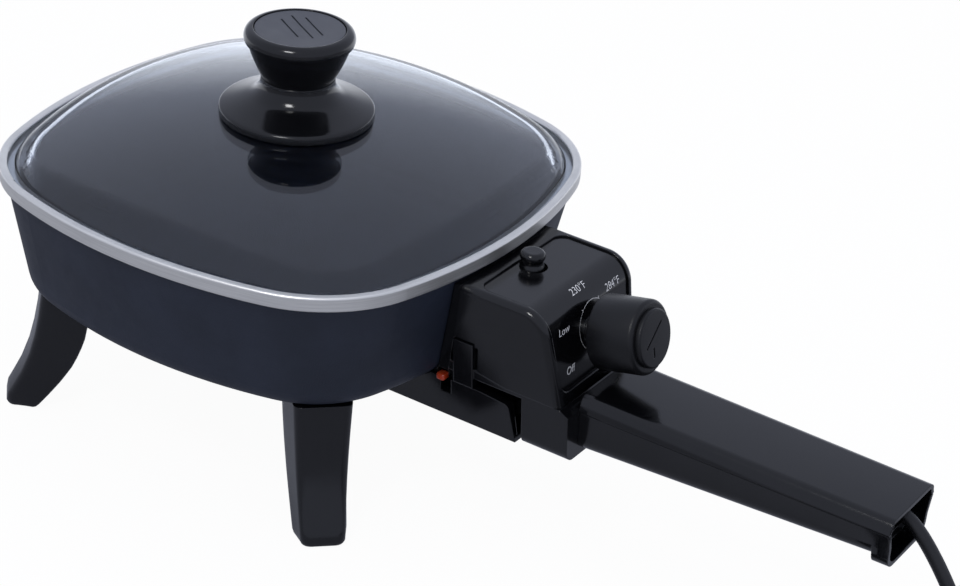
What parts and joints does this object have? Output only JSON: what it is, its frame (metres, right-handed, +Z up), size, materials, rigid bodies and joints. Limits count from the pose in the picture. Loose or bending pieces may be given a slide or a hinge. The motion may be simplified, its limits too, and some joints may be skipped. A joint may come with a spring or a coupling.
{
  "type": "electric skillet",
  "caption": "Small rounded-square electric skillet on splayed legs, with a lift-off domed glass lid, a plug-in control unit with dial and release button, a handle and a power cord.",
  "frame": {"origin": "on the table, under the middle of the overall length from the rear of the lid's rim to the end of the handle", "axes": "+X from the pan along the handle, +Z up, +Y to the left seen from the rear of the pan"},
  "size_m": [0.3979, 0.19, 0.1517],
  "materials": {
    "nonstick_pan": "fine-textured black non-stick coating over die-cast aluminium",
    "black_plastic": "semi-gloss black phenolic with fine moulding texture",
    "panel_gloss": "high-gloss black control panel",
    "dial_black": "satin black, faintly soft",
    "lid_glass": "clear tempered glass, cool tint",
    "rim_steel": "brushed stainless steel",
    "screw_steel": "zinc-plated steel",
    "brass": "plain brass",
    "element_steel": "grey-oxidised element sheath",
    "lens_amber": "translucent orange-red lens",
    "cord_rubber": "black PVC, satin",
    "washer_silicone": "translucent silicone",
    "ceramic": "unglazed steatite"
  },
  "bodies": {
    "pan": {"skillet_pan": "nonstick_pan", "heating_element": "element_steel", "terminal_pins": "element_steel", "leg_handle_far": "black_plastic", "leg_rear_far": "black_plastic", "leg_rear_near": "black_plastic", "leg_handle_near": "black_plastic", "leg_screws": "screw_steel", "pin_shroud": "black_plastic", "wall_plate": "black_plastic", "indicator_lens": "lens_amber", "shroud_screws": "screw_steel"},
    "control": {"control_housing": "black_plastic", "control_panel": "panel_gloss", "unit_base": "black_plastic", "contact_block": "ceramic", "contact_sleeves": "brass", "thermostat_probe": "rim_steel", "thermostat": "ceramic", "handle_upper": "black_plastic", "handle_lower": "black_plastic", "handle_screws": "screw_steel", "strain_relief": "cord_rubber", "cord": "cord_rubber", "cord_coil": "cord_rubber", "plug_body": "cord_rubber", "plug_blades": "brass", "lead_wires": "cord_rubber", "button_spring": "screw_steel"},
    "dial": {"dial_knob": "dial_black", "dial_cap": "dial_black", "dial_shaft": "screw_steel"},
    "button": {"release_button": "black_plastic", "button_plunger": "black_plastic"},
    "lid": {"lid_glass": "lid_glass", "lid_band": "rim_steel", "knob_skirt": "black_plastic", "knob_grip": "black_plastic", "knob_insert": "dial_black", "lid_washer": "screw_steel", "lid_screw": "screw_steel", "glass_grommet": "washer_silicone"}
  },
  "joints": [
    {"name": "lid_lift", "type": "slide", "parent": "pan", "child": "lid", "axis": [0, 0, 1], "range_m": [0, 0.12]},
    {"name": "control_pull", "type": "slide", "parent": "pan", "child": "control", "axis": [1, 0, 0], "range_m": [0, 0.06]},
    {"name": "dial_turn", "type": "hinge", "parent": "control", "child": "dial", "pos_m": [0.0726, 0, 0.0822], "axis": [-0.9744, 0, -0.225], "range_deg": [0, 285]},
    {"name": "button_press", "type": "slide", "parent": "control", "child": "button", "axis": [0, 0, -1], "range_m": [0, 0.003], "stiffness_N_per_m": 400, "deforming": ["button_spring"]}
  ]
}
